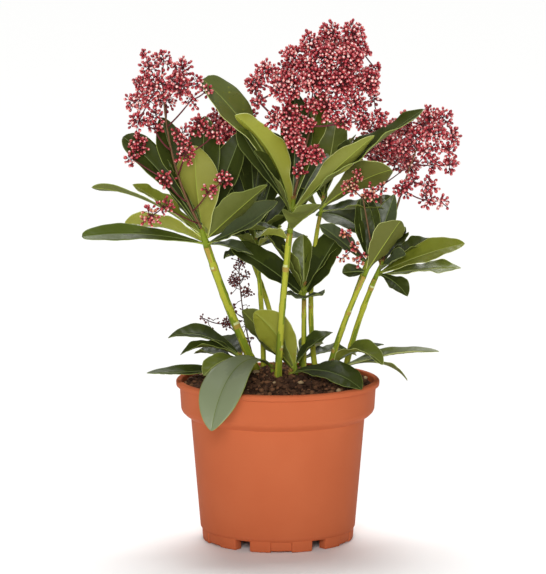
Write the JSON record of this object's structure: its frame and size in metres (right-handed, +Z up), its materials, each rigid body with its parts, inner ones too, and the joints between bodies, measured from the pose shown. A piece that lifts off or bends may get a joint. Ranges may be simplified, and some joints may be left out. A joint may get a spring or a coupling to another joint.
{
  "type": "potted flowering shrub",
  "caption": "Evergreen skimmia shrub with long leathery leaves and upright heads of closed red flower buds, growing in a round stepped plastic nursery pot on short feet",
  "frame": {"origin": "middle of the pot, on the plane that its feet stand on", "axes": "+Z up, front toward -Y, +X to the viewer's right"},
  "size_m": [0.2597, 0.1659, 0.3565],
  "materials": {
    "pot": "thin moulded terracotta-coloured plastic, satin to matte",
    "soil": "dark brown crumbly peat compost with a few pale bits of fibre",
    "stem": "smooth young bark, lime green",
    "leaf": "leathery evergreen leaf, dark and half glossy above, pale olive below",
    "flower": "closed round flower buds, deep red with pink lights",
    "dried": "dried flower twig, dark maroon, matte"
  },
  "bodies": {
    "root": {"flowers_back_left": "flower", "flowers_back_right": "flower", "flowers_dried": "dried", "flowers_left": "flower", "flowers_right": "flower", "flowers_small": "flower", "flowers_top": "flower", "leaves_back_left": "leaf", "leaves_back_right": "leaf", "leaves_far_right": "leaf", "leaves_front": "leaf", "leaves_left": "leaf", "leaves_low_back": "leaf", "leaves_low_left": "leaf", "leaves_low_middle": "leaf", "leaves_low_right": "leaf", "leaves_middle": "leaf", "leaves_middle_tall": "leaf", "leaves_right": "leaf", "leaves_rim_left": "leaf", "leaves_rim_right": "leaf", "leaves_slim_left": "leaf", "pot": "pot", "soil": "soil", "stem_back_left": "stem", "stem_back_right": "stem", "stem_far_right": "stem", "stem_front": "stem", "stem_left": "stem", "stem_middle": "stem", "stem_middle_tall": "stem", "stem_right": "stem", "stem_slim_left": "stem"}
  },
  "joints": []
}
